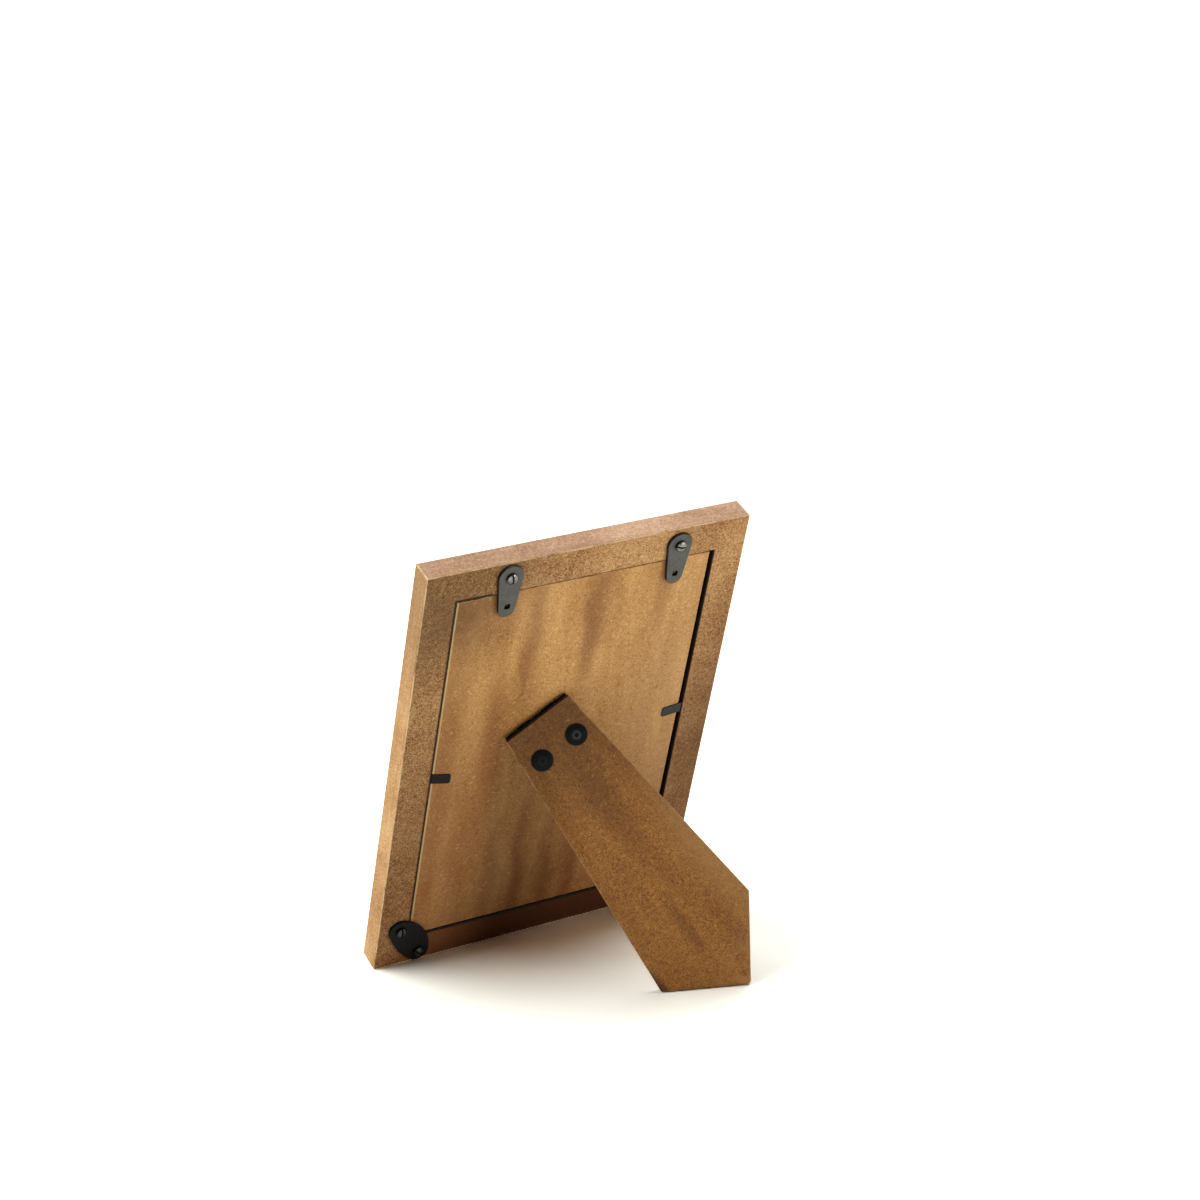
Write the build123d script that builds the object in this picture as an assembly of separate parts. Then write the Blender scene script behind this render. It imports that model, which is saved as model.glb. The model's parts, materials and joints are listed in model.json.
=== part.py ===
from build123d import *
from math import acos, atan2, cos, degrees, radians, sin, tan
import os

# A photo frame that stands on an easel strut, upright or on its side.
# Lengths are in millimetres, angles in degrees. Left and right are as seen from behind: left is +X.

# Frame outline with its rounded corners, and how far it leans back upright and on its right side
FRAME_WIDTH = 129.4
FRAME_HEIGHT = 184.0
CORNER_ROUND = 0.8
LEAN = 17.1
SIDEWAYS_LEAN = 8.7

# Layers from the front of the frame to its back
LIP_THICKNESS = 3.0
GLASS_THICKNESS = 2.0
SHEET_THICKNESS = 0.3
CARD_THICKNESS = 1.2
BOARD_THICKNESS = 3.0
BOARD_RECESS = 0.5

# Moulding section
WALL_WIDTH = 13.0
LIP_WIDTH = 5.0
BACK_EASE = 0.6
FRONT_EASE = 1.2
RABBET_EASE = 0.4
SIGHT_BEVEL = 1.5

# Room round the layers inside the rabbet
PANE_GAP = 0.8
BOARD_RIGHT_GAP = 1.25
BOARD_TOP_GAP = 0.8
BOARD_FLOOR_GAP = 0.3
BOARD_EASE = 0.3

# V-shaped nails across the mitres, sunk below the back
NAIL_THICKNESS = 0.6
NAIL_LEG = 5.0
NAIL_HEIGHT = 5.5
NAIL_SINK = 1.5
NAIL_PLACE_SHARE = 0.5

# Slotted pan-head screws
SCREW_LENGTH = 9.0
SCREW_TIP = 2.0
SCREW_RADIUS = 1.1
SCREW_HEAD_RADIUS = 2.1
SCREW_HEAD_RIM = 0.8
SCREW_HEAD_HEIGHT = 1.5
SLOT_WIDTH = 0.7
SLOT_DEPTH = 0.8

# Turn buttons on the top rail: places from the sides of the frame, drops as shares of the wall width
BUTTON_THICKNESS = 1.2
BUTTON_HEAD_RADIUS = 4.9
BUTTON_TIP_RADIUS = 3.3
BUTTON_REACH = 13.7
BUTTON_EYE = 2.2
BUTTON_EYE_CORNER = 0.5
BUTTON_EYE_REACH = 12.4
BUTTON_EASE = 0.25
BUTTON_PLAY = 0.08
BUTTON_INSETS = {"left": 32.5, "right": 28.9}
BUTTON_DROP_SHARES = {"left": 0.45, "right": 0.51}
BUTTON_SLOT_ANGLES = {"left": 98.0, "right": -13.0}

# Corner plates over the lower corners of the board: they swell from the line of their screws
PLATE_THICKNESS = 1.2
PLATE_END_RADIUS = 4.6
PLATE_BOARD_REACH = 7.1
PLATE_CORNER_REACH = 5.6
PLATE_SCREW_SPACING = 14.9
PLATE_EASE = 0.3
PLATE_SLOPE = 56.0
PLATE_INSET_SHARE = 1.0
PLATE_RISE_SHARE = 0.9
PLATE_SLOT_ANGLES = {"left": (-33.0, 20.0), "right": (70.0, -15.0)}

# Bent steel tabs at the sides of the board, heights above the foot of the frame
TAB_LENGTH = 7.8
TAB_WIDTH = 4.2
TAB_THICKNESS = 0.35
TAB_CORNER = 0.8
TAB_GAP = 0.05
TAB_LEG = 2.2
PRONG_LENGTH = 4.0
PRONG_WIDTH = 0.8
PRONG_HEIGHT = 0.6
TAB_HEIGHTS = {"left": 90.8, "right": 98.0}
TAB_SLANTS = {"left": 14.0, "right": 7.0}

# Hinge of the strut: place of its middle from the left side and the foot of the frame, and its slope
HINGE_INSET = 53.1
HINGE_HEIGHT = 109.5
HINGE_SLOPE = 35.0
HINGE_WIDTH = 27.0
KNUCKLES = 5
KNUCKLE_GAP = 0.15
LEAF_THICKNESS = 0.4
LEAF_GAP = 0.1
FIXED_LEAF_LENGTH = 9.0
MOVING_LEAF_LENGTH = 18.0
PIN_CLEARANCE = 0.04
PIN_HEAD = 0.25
PIN_HEAD_RADIUS = 0.7
SWING_GAP = 0.3
SEAT_GAP = 0.05
HEEL_REACH = 1.0

# Easel strut
STRUT_THICKNESS = 3.0
STRUT_HEAD_WIDTH = 28.0
STRUT_FLARE = 5.5
STRUT_OVERHANG = 0.5
STRUT_EASE = 0.35
STRUT_OPENING = 34.2

# Rivets that hold the leaves to the board and to the strut
BOARD_RIVET_RADIUS = 1.2
BOARD_RIVET_HEAD_RADIUS = 2.4
BOARD_RIVET_TAIL = 0.5
BOARD_RIVET_REACH = 4.9
BOARD_RIVET_SPREAD = 6.5
STRUT_RIVET_RADIUS = 1.6
STRUT_RIVET_HEAD_RADIUS = 4.1
STRUT_RIVET_HEAD_HEIGHT = 0.9
STRUT_RIVET_RIM = 0.3
STRUT_RIVET_DIMPLE_RADIUS = 0.8
STRUT_RIVET_DIMPLE = 0.3
STRUT_RIVET_TAIL = 0.3
STRUT_RIVET_TAIL_RADIUS = 2.3
STRUT_RIVET_REACH = 13.1
STRUT_RIVET_SPREAD = 7.75

# How far cutting shapes run past what they cut
OVERRUN = 1.0

# Sizes that follow from the ones above
FRAME_DEPTH = (LIP_THICKNESS + GLASS_THICKNESS + SHEET_THICKNESS
               + CARD_THICKNESS + BOARD_THICKNESS + BOARD_RECESS)
INSIDE_WIDTH = FRAME_WIDTH - 2 * WALL_WIDTH
MOULDING_WIDTH = WALL_WIDTH + LIP_WIDTH
BOARD_FRONT = -BOARD_RECESS - BOARD_THICKNESS
BOARD_LEFT_GAP = TAB_THICKNESS + 2 * TAB_GAP
KNUCKLE_RADIUS = 2 * LEAF_THICKNESS + LEAF_GAP
PIN_BORE = KNUCKLE_RADIUS - LEAF_THICKNESS
PIN_RADIUS = PIN_BORE - PIN_CLEARANCE
PIN_HEIGHT = KNUCKLE_RADIUS - BOARD_RECESS
KNUCKLE_ROOM = KNUCKLE_RADIUS + SWING_GAP
SIDES = {"left": 1, "right": -1}

# The back of the frame as a drawing board: first axis to the right, second axis up, third axis outwards
BACK = Plane(origin=(0, 0, 0), x_dir=(-1, 0, 0), z_dir=(0, 1, 0)).location
HINGE = (BACK * Pos(HINGE_INSET - FRAME_WIDTH / 2, HINGE_HEIGHT, PIN_HEIGHT)
         * Rot(0, 0, HINGE_SLOPE - 90))
OPENED = HINGE * Rot(0, -STRUT_OPENING, 0)


def block(x_span, y_span, z_span):
    """A box between two limits on each axis, given in either order."""
    spans = (x_span, y_span, z_span)
    sizes = [max(span) - min(span) for span in spans]
    corner = [min(span) for span in spans]
    return Pos(*corner) * Box(*sizes, align=(Align.MIN, Align.MIN, Align.MIN))


def post(radius, z_span):
    """A round post along Z between two heights."""
    bottom = min(z_span)
    base = (Align.CENTER, Align.CENTER, Align.MIN)
    return Pos(0, 0, bottom) * Cylinder(radius, max(z_span) - bottom, align=base)


def barrel(radius, y_span):
    """A round bar along Y between two places."""
    start = min(y_span)
    return Pos(0, start, 0) * Rot(-90, 0, 0) * post(radius, (0, max(y_span) - start))


def corner_at(outline, across, up):
    """The corner of a flat outline that lies at a place."""
    return outline.vertices().sort_by_distance((across, up))[0]


def moulding_section():
    """Section of the moulding: first axis to the back, second from the outer face to the opening."""
    rabbet = LIP_THICKNESS - FRAME_DEPTH
    section = make_face(Polyline(
        (0, 0), (0, WALL_WIDTH), (rabbet, WALL_WIDTH), (rabbet, MOULDING_WIDTH),
        (-FRAME_DEPTH, MOULDING_WIDTH), (-FRAME_DEPTH, 0), close=True))
    section = fillet(corner_at(section, 0, 0), BACK_EASE)
    section = fillet(corner_at(section, 0, WALL_WIDTH), RABBET_EASE)
    section = fillet(corner_at(section, -FRAME_DEPTH, 0), FRONT_EASE)
    return chamfer(corner_at(section, -FRAME_DEPTH, MOULDING_WIDTH), SIGHT_BEVEL)


def moulding(length):
    """A mitred length of moulding along X, outer face on Z = 0, back on Y = 0, lip towards +Z."""
    half = length / 2
    inner = MOULDING_WIDTH + OVERRUN
    bar = Pos(-half, 0, 0) * extrude(Plane.YZ * moulding_section(), length)
    mitres = make_face(Polyline(
        (-half - OVERRUN, -OVERRUN), (half + OVERRUN, -OVERRUN),
        (half - inner, inner), (inner - half, inner), close=True))
    wedge = Pos(0, OVERRUN, 0) * extrude(Plane.XZ * mitres, FRAME_DEPTH + 2 * OVERRUN)
    return bar & wedge


def frame_members():
    """The four mitred mouldings, each in its place in the upright frame, with the corners rounded off."""
    half_width = FRAME_WIDTH / 2
    half_height = FRAME_HEIGHT / 2
    outline = Plane.XZ * RectangleRounded(FRAME_WIDTH, FRAME_HEIGHT, CORNER_ROUND)
    rounded = Pos(0, 0, half_height) * extrude(outline, FRAME_DEPTH + OVERRUN, both=True)
    members = {
        "bottom_rail": moulding(FRAME_WIDTH),
        "top_rail": Pos(0, 0, FRAME_HEIGHT) * Rot(0, 180, 0) * moulding(FRAME_WIDTH),
        "left_stile": Pos(half_width, 0, half_height) * Rot(0, -90, 0) * moulding(FRAME_HEIGHT),
        "right_stile": Pos(-half_width, 0, half_height) * Rot(0, 90, 0) * moulding(FRAME_HEIGHT),
    }
    return {name: member & rounded for name, member in members.items()}


def corner_nails():
    """One V-shaped nail across each mitre, with a leg in each of the two mouldings."""
    half = NAIL_THICKNESS / 2
    inset = NAIL_PLACE_SHARE * WALL_WIDTH
    depth = (-NAIL_SINK - NAIL_HEIGHT, -NAIL_SINK)
    nails = []
    for side in (1, -1):
        across = side * (FRAME_WIDTH / 2 - inset)
        for up, inwards in ((inset, 1), (FRAME_HEIGHT - inset, -1)):
            rail_leg = block((across + side * half, across - side * NAIL_LEG), depth, (up - half, up + half))
            stile_leg = block((across - half, across + half), depth,
                              (up - inwards * half, up + inwards * NAIL_LEG))
            nails.append(rail_leg + stile_leg)
    return nails


def pane(thickness, back):
    """A sheet that lies in the rabbet and stands on its floor."""
    half = INSIDE_WIDTH / 2 - PANE_GAP
    return block((-half, half), (back - thickness, back), (WALL_WIDTH, FRAME_HEIGHT - WALL_WIDTH - PANE_GAP))


def backing_board(rivets):
    """The board behind the picture, pushed to the left and drilled for the rivets of the hinge."""
    half = INSIDE_WIDTH / 2
    board = block((BOARD_RIGHT_GAP - half, half - BOARD_LEFT_GAP), (BOARD_FRONT, -BOARD_RECESS),
                  (WALL_WIDTH + BOARD_FLOOR_GAP, FRAME_HEIGHT - WALL_WIDTH - BOARD_TOP_GAP))
    board = fillet(board.faces().sort_by(Axis.Y)[-1].edges(), BOARD_EASE)
    for rivet in rivets:
        board -= rivet
    return board


def slotted_screw(slot_angle):
    """A pan-head screw along Z, with the underside of its head on Z = 0."""
    crown = SCREW_HEAD_HEIGHT - SCREW_HEAD_RIM
    ball = (SCREW_HEAD_RADIUS ** 2 + crown ** 2) / (2 * crown)
    middle = SCREW_HEAD_HEIGHT - ball
    rim_angle = degrees(acos(SCREW_HEAD_RADIUS / ball))
    dome = CenterArc((0, middle), ball, rim_angle, 90 - rim_angle)
    rest = Polyline(
        (SCREW_HEAD_RADIUS, SCREW_HEAD_RIM), (SCREW_HEAD_RADIUS, 0), (SCREW_RADIUS, 0),
        (SCREW_RADIUS, SCREW_TIP - SCREW_LENGTH), (0, -SCREW_LENGTH), (0, SCREW_HEAD_HEIGHT))
    screw = revolve(Plane.XZ * make_face([dome, rest]), Axis.Z)
    half_slot = SLOT_WIDTH / 2
    reach = SCREW_HEAD_RADIUS + OVERRUN
    slot = block((-reach, reach), (-half_slot, half_slot),
                 (SCREW_HEAD_HEIGHT - SLOT_DEPTH, SCREW_HEAD_HEIGHT + OVERRUN))
    return screw - Rot(0, 0, slot_angle) * slot


def button_place(side):
    """Where a turn button's screw stands on the back of the frame."""
    across = SIDES[side] * (BUTTON_INSETS[side] - FRAME_WIDTH / 2)
    return BACK * Pos(across, FRAME_HEIGHT - BUTTON_DROP_SHARES[side] * WALL_WIDTH, 0)


def turn_button(side):
    """A pear-shaped plate that hangs from its screw and laps over the board."""
    ends = [Circle(BUTTON_HEAD_RADIUS), Pos(0, -BUTTON_REACH) * Circle(BUTTON_TIP_RADIUS)]
    outline = make_hull([end.edge() for end in ends])
    plate = extrude(outline, BUTTON_THICKNESS)
    plate = fillet(plate.faces().sort_by(Axis.Z)[-1].edges(), BUTTON_EASE)
    eye = RectangleRounded(BUTTON_EYE, BUTTON_EYE, BUTTON_EYE_CORNER)
    plate -= Pos(0, -BUTTON_EYE_REACH) * extrude(eye, BUTTON_THICKNESS)
    plate -= post(SCREW_RADIUS + BUTTON_PLAY, (0, BUTTON_THICKNESS))
    return button_place(side) * Pos(0, 0, BUTTON_PLAY) * plate


def button_screw(side):
    """The screw on which a turn button swivels."""
    head_seat = BUTTON_THICKNESS + 2 * BUTTON_PLAY
    return button_place(side) * Pos(0, 0, head_seat) * slotted_screw(BUTTON_SLOT_ANGLES[side])


def plate_place(side):
    """Middle and direction of a corner plate on the back of the frame."""
    across = SIDES[side] * (PLATE_INSET_SHARE * WALL_WIDTH - FRAME_WIDTH / 2)
    slope = 90 + SIDES[side] * (90 - PLATE_SLOPE)
    return BACK * Pos(across, PLATE_RISE_SHARE * WALL_WIDTH, 0) * Rot(0, 0, slope)


def plate_screws(side):
    """The two screws of a corner plate, the upper one first."""
    half = PLATE_SCREW_SPACING / 2
    return [plate_place(side) * Pos(along, 0, PLATE_THICKNESS) * slotted_screw(angle)
            for along, angle in zip((half, -half), PLATE_SLOT_ANGLES[side])]


def plate_outline(side):
    """An oval of four arcs: one swells over the board, one to the corner, and one goes round each screw."""
    half = PLATE_SCREW_SPACING / 2
    board_way = -SIDES[side]
    arcs = []
    slopes = []
    for reach, way in ((PLATE_BOARD_REACH, board_way), (PLATE_CORNER_REACH, -board_way)):
        swell = reach - PLATE_END_RADIUS
        centre = (half ** 2 - swell ** 2) / (2 * swell)
        slope = degrees(atan2(centre, half))
        arcs.append(CenterArc((0, -way * centre), centre + reach, way * slope, way * (180 - 2 * slope)))
        slopes.append(slope)
    sweep = board_way * sum(slopes)
    arcs.append(CenterArc((half, 0), PLATE_END_RADIUS, -board_way * slopes[1], sweep))
    arcs.append(CenterArc((-half, 0), PLATE_END_RADIUS, 180 - board_way * slopes[0], sweep))
    return make_face(arcs)


def corner_plate(side, screws):
    """An oval plate screwed across a lower corner, which holds the corner of the board."""
    plate = extrude(plate_outline(side), PLATE_THICKNESS)
    plate = plate_place(side) * fillet(plate.faces().sort_by(Axis.Z)[-1].edges(), PLATE_EASE)
    for screw in screws:
        plate -= screw
    return plate


def tab_place(side):
    """The bend line of a side tab: first axis towards the board, third axis out of the back."""
    half = TAB_THICKNESS / 2
    across = SIDES[side] * (INSIDE_WIDTH / 2 - half - TAB_GAP)
    depth = half + TAB_GAP - BOARD_RECESS
    return Plane(origin=(across, depth, TAB_HEIGHTS[side]),
                 x_dir=(-SIDES[side], 0, 0), z_dir=(0, 1, 0)).location


def tab_flap(side):
    """The free end of a side tab, bent over the edge of the board."""
    half = TAB_WIDTH / 2
    fall = SIDES[side] * TAB_LENGTH * tan(radians(TAB_SLANTS[side]))
    outline = make_face(Polyline(
        (0, -half), (TAB_LENGTH, -half - fall), (TAB_LENGTH, half - fall), (0, half), close=True))
    tip = outline.vertices().sort_by(Axis.X)[-2:]
    leaf = extrude(fillet(tip, TAB_CORNER), TAB_THICKNESS / 2, both=True)
    return tab_place(side) * (leaf + barrel(TAB_THICKNESS / 2, (-half, half)))


def tab_anchor(side):
    """The leg of a side tab along the rabbet wall, with two prongs driven into the stile."""
    half = TAB_WIDTH / 2
    offset = TAB_THICKNESS / 2 + TAB_GAP
    leg = block((-offset, TAB_THICKNESS - offset), (-half, half), (-offset - TAB_LEG, -offset))
    prong_middle = -offset - TAB_LEG / 2
    along = (-offset - PRONG_LENGTH, -offset)
    height = (prong_middle - PRONG_HEIGHT / 2, prong_middle + PRONG_HEIGHT / 2)
    for edge in (1, -1):
        leg += block(along, (edge * half, edge * (half - PRONG_WIDTH)), height)
    return tab_place(side) * leg


def knuckle_spans():
    """Start and end of each knuckle along the pin. The even ones are fixed, the odd ones move."""
    pitch = HINGE_WIDTH / KNUCKLES
    edges = [index * pitch - HINGE_WIDTH / 2 for index in range(KNUCKLES)]
    return [(edge + KNUCKLE_GAP / 2, edge + pitch - KNUCKLE_GAP / 2) for edge in edges]


def board_rivet_places():
    """Places of the rivets between the fixed leaf and the board, as seen on the hinge."""
    return [Pos(BOARD_RIVET_REACH, side * BOARD_RIVET_SPREAD, 0) for side in (1, -1)]


def strut_rivet_places():
    """Places of the rivets between the moving leaf and the strut, as seen on the hinge."""
    return [Pos(STRUT_RIVET_REACH, side * STRUT_RIVET_SPREAD, 0) for side in (1, -1)]


def board_rivets():
    """Flat rivets through the fixed leaf and the board, clinched flush with the front of the board."""
    leaf_top = LEAF_THICKNESS - KNUCKLE_RADIUS
    board_front = -KNUCKLE_RADIUS - BOARD_THICKNESS
    rivet = post(BOARD_RIVET_RADIUS, (board_front, leaf_top))
    rivet += post(BOARD_RIVET_HEAD_RADIUS, (leaf_top, leaf_top + LEAF_THICKNESS))
    rivet += post(BOARD_RIVET_HEAD_RADIUS, (board_front, board_front + BOARD_RIVET_TAIL))
    return [HINGE * place * rivet for place in board_rivet_places()]


def hinge_fixed_leaf(rivets):
    """The leaf that is riveted to the board, with the even knuckles."""
    half = HINGE_WIDTH / 2
    under = (-KNUCKLE_RADIUS, LEAF_THICKNESS - KNUCKLE_RADIUS)
    leaf = block((0, FIXED_LEAF_LENGTH), (-half, half), under)
    for start, end in knuckle_spans()[1::2]:
        leaf -= block((0, KNUCKLE_ROOM), (start - KNUCKLE_GAP, end + KNUCKLE_GAP), under)
    for span in knuckle_spans()[::2]:
        leaf += barrel(KNUCKLE_RADIUS, span)
    leaf = HINGE * (leaf - barrel(PIN_BORE, (-half, half)))
    for rivet in rivets:
        leaf -= rivet
    return leaf


def hinge_moving_leaf(rivets):
    """The leaf under the strut. The squared heels of its knuckles stop it on the board when open."""
    half = HINGE_WIDTH / 2
    room = BOARD_RIVET_HEAD_RADIUS + SWING_GAP
    upper = (-LEAF_THICKNESS, 0)
    bottom = SEAT_GAP - KNUCKLE_RADIUS
    leaf = block((KNUCKLE_ROOM, MOVING_LEAF_LENGTH), (-half, half), upper)
    for span in knuckle_spans()[1::2]:
        leaf += block((0, KNUCKLE_ROOM), span, upper)
        leaf += barrel(KNUCKLE_RADIUS - SEAT_GAP, span)
        leaf += Rot(0, STRUT_OPENING, 0) * block((-HEEL_REACH, 0), span, (bottom, 0))
    leaf -= barrel(PIN_BORE, (-half, half))
    for place in board_rivet_places():
        leaf -= place * post(room, upper)
    leaf = OPENED * leaf
    for rivet in rivets:
        leaf -= rivet
    return leaf


def hinge_pin():
    """The pin, peened to a small head at each end."""
    half = HINGE_WIDTH / 2
    pin = barrel(PIN_RADIUS, (-half, half))
    for side in (1, -1):
        pin += barrel(PIN_HEAD_RADIUS, (side * half, side * (half + PIN_HEAD)))
    return HINGE * pin


def foot_line(height, lean, along_fall, across_fall):
    """The line on the inner face of the open strut that meets the table, with the frame leaning back.

    Gives its distance from the pin on the middle line of the strut, and its slope across the strut.
    """
    settle = BACK_EASE * (cos(radians(lean)) + sin(radians(lean)) - 1)
    level = cos(radians(lean))
    tilt = sin(radians(lean))
    fall = cos(radians(STRUT_OPENING)) * along_fall * level + sin(radians(STRUT_OPENING)) * tilt
    return (height * level - PIN_HEIGHT * tilt - settle) / fall, -across_fall * level / fall


def strut_outline():
    """The strut as seen from behind, with one edge of its foot for each way that the frame stands."""
    slope = radians(HINGE_SLOPE)
    flare = tan(radians(STRUT_FLARE))
    half = STRUT_HEAD_WIDTH / 2
    upright, upright_slope = foot_line(HINGE_HEIGHT, LEAN, cos(slope), -sin(slope))
    sideways, sideways_slope = foot_line(FRAME_WIDTH - HINGE_INSET, SIDEWAYS_LEAN, sin(slope), cos(slope))
    left_end = (upright - upright_slope * half) / (1 + upright_slope * flare)
    right_end = (sideways + sideways_slope * half) / (1 - sideways_slope * flare)
    point_across = (sideways - upright) / (upright_slope - sideways_slope)
    point_along = upright + upright_slope * point_across
    head = half - flare * STRUT_OVERHANG
    return make_face(Polyline(
        (-STRUT_OVERHANG, -head), (left_end, -half - flare * left_end), (point_along, point_across),
        (right_end, half + flare * right_end), (-STRUT_OVERHANG, head), close=True))


def strut_rivets():
    """Low domed rivets with a dimple in the head, clinched under the moving leaf."""
    crown = STRUT_RIVET_HEAD_HEIGHT - STRUT_RIVET_RIM
    ball = (STRUT_RIVET_HEAD_RADIUS ** 2 + crown ** 2) / (2 * crown)
    top = STRUT_THICKNESS + STRUT_RIVET_HEAD_HEIGHT
    tail = -LEAF_THICKNESS - STRUT_RIVET_TAIL
    head = post(STRUT_RIVET_HEAD_RADIUS, (STRUT_THICKNESS, top)) & Pos(0, 0, top - ball) * Sphere(ball)
    head -= post(STRUT_RIVET_DIMPLE_RADIUS, (top - STRUT_RIVET_DIMPLE, top))
    shank = post(STRUT_RIVET_RADIUS, (-LEAF_THICKNESS, STRUT_THICKNESS))
    rivet = head + shank + post(STRUT_RIVET_TAIL_RADIUS, (tail, -LEAF_THICKNESS))
    return [OPENED * place * rivet for place in strut_rivet_places()]


def strut(rivets):
    """The easel strut, open, rebated over the barrel of the hinge."""
    outline = strut_outline()
    blank = extrude(outline, STRUT_THICKNESS)
    blank = chamfer(blank.faces().sort_by(Axis.Z)[-1].edges(), STRUT_EASE)
    reach = STRUT_HEAD_WIDTH
    blank -= block((-STRUT_OVERHANG - OVERRUN, KNUCKLE_ROOM), (-reach, reach), (-OVERRUN, KNUCKLE_ROOM))
    leg = OPENED * blank
    for rivet in rivets:
        leg -= rivet
    return leg


def upright_pieces():
    """Every piece of the frame, with the frame upright and its back on Y = 0."""
    pieces = frame_members()
    nails = corner_nails()
    button_screws = {side: button_screw(side) for side in SIDES}
    corner_screws = {side: plate_screws(side) for side in SIDES}
    anchors = {side: tab_anchor(side) for side in SIDES}
    hinge_rivets = board_rivets()
    leg_rivets = strut_rivets()
    for nail in nails:
        for name in ("bottom_rail", "top_rail", "left_stile", "right_stile"):
            pieces[name] -= nail
    for side in SIDES:
        pieces["top_rail"] -= button_screws[side]
        pieces[f"{side}_stile"] -= corner_screws[side][0]
        pieces["bottom_rail"] -= corner_screws[side][1]
        pieces[f"{side}_stile"] -= anchors[side]
        pieces[f"turn_button_{side}"] = turn_button(side)
        pieces[f"corner_plate_{side}"] = corner_plate(side, corner_screws[side])
        pieces[f"side_tab_{side}"] = tab_flap(side)
        pieces[f"side_tab_{side}_anchor"] = anchors[side]
    card_front = BOARD_FRONT - CARD_THICKNESS
    sheet_front = card_front - SHEET_THICKNESS
    pieces["corner_nails"] = Compound(nails)
    pieces["turn_button_screws"] = Compound(list(button_screws.values()))
    pieces["corner_plate_screws"] = Compound(corner_screws["left"] + corner_screws["right"])
    pieces["filler_card"] = pane(CARD_THICKNESS, BOARD_FRONT)
    pieces["photo_sheet"] = pane(SHEET_THICKNESS, card_front)
    pieces["glass_pane"] = pane(GLASS_THICKNESS, sheet_front)
    pieces["backing_board"] = backing_board(hinge_rivets)
    pieces["board_rivets"] = Compound(hinge_rivets)
    pieces["hinge_fixed_leaf"] = hinge_fixed_leaf(hinge_rivets)
    pieces["hinge_moving_leaf"] = hinge_moving_leaf(leg_rivets)
    pieces["hinge_pin"] = hinge_pin()
    pieces["strut"] = strut(leg_rivets)
    pieces["strut_rivets"] = Compound(leg_rivets)
    return pieces


def standing(pieces):
    """The pieces leaned back on the strut, with the middle of the footprint at the origin."""
    leaned = {name: Rot(-LEAN, 0, 0) * piece for name, piece in pieces.items()}
    box = Compound(list(leaned.values())).bounding_box()
    shift = Pos(-box.center().X, -box.center().Y, -box.min.Z)
    return {name: shift * piece for name, piece in leaned.items()}


os.makedirs("parts", exist_ok=True)
for name, piece in standing(upright_pieces()).items():
    export_step(piece, f"parts/{name}.step")
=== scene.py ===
# %% [markdown]
# # An easel back photo frame, seen from behind
# The solids of the frame come from its construction model and stay where they are. This lesson gives
# every surface its finish and wear, models two pieces anew, and then sets the light and the camera.

# %% Load the construction model
import json
import math

import bpy
from mathutils import Matrix, Vector


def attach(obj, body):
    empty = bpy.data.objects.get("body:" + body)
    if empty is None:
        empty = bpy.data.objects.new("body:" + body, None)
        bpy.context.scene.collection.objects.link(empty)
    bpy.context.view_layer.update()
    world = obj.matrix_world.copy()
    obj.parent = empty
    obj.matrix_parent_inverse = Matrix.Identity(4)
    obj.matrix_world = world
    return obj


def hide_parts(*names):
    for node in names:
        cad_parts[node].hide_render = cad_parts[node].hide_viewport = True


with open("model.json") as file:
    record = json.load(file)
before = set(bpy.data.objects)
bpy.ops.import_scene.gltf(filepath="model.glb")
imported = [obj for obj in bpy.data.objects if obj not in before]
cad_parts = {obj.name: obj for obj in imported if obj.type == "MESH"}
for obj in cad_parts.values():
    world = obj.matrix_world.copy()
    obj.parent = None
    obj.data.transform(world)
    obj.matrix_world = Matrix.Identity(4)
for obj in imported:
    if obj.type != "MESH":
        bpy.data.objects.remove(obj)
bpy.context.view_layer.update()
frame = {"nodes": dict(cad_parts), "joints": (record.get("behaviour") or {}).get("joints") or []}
nodes = frame["nodes"]
joints = {joint["name"]: joint for joint in frame["joints"]}
MM = 0.001
bpy.ops.object.select_all(action="DESELECT")

# %% [markdown]
# ## Axes of the frame and of the strut
# The frame leans back and the strut stands out from it, so the patterns on them would run askew on the
# axes of the room. The turn buttons swivel about a line that points straight out of the back, and the
# strut folds about its hinge pin, so these two lines give each board its own axes.

# %% Own axes of the two boards
def own_axes(first, second, third, origin):
    """Turn and shift from the room's axes to a board's own axes."""
    turn = Matrix((first, second, third))
    return turn.to_euler(), -(turn @ origin)


def span(node, direction):
    """Lowest and highest place of a node's points along a direction."""
    places = [point.co.dot(direction) for point in nodes[node].data.vertices]
    return min(places), max(places)


out_of_back = Vector(joints["left_button_turn"]["axis"])
across_frame = Vector((1, 0, 0))
up_frame = across_frame.cross(out_of_back)
frame_foot, frame_top = span("left_stile", up_frame)
frame_back = span("left_stile", out_of_back)[1]
frame_origin = out_of_back * frame_back + up_frame * frame_foot
frame_axes = own_axes(across_frame, out_of_back, up_frame, frame_origin)
frame_height = frame_top - frame_foot
frame_half_width = span("left_stile", across_frame)[1]

hinge_place = Vector(joints["strut_fold"]["pos_m"])
widest_face = max(nodes["strut"].data.polygons, key=lambda face: face.area)
out_of_strut = widest_face.normal * math.copysign(1, widest_face.normal.y)
down_strut = Vector(joints["strut_fold"]["axis"]).cross(out_of_strut)
down_strut *= -math.copysign(1, down_strut.z)
across_strut = out_of_strut.cross(down_strut)
strut_axes = own_axes(down_strut, across_strut, out_of_strut, hinge_place)
print("the frame leans back by", round(math.degrees(math.asin(up_frame.y)), 1), "degrees")

# %% [markdown]
# ## Nodes and colours
# Every finish is a small tree of nodes. One function adds a node with its settings and links, and
# another turns a colour as it is written in a paint program, in sRGB, to the linear values that light
# needs.

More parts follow.
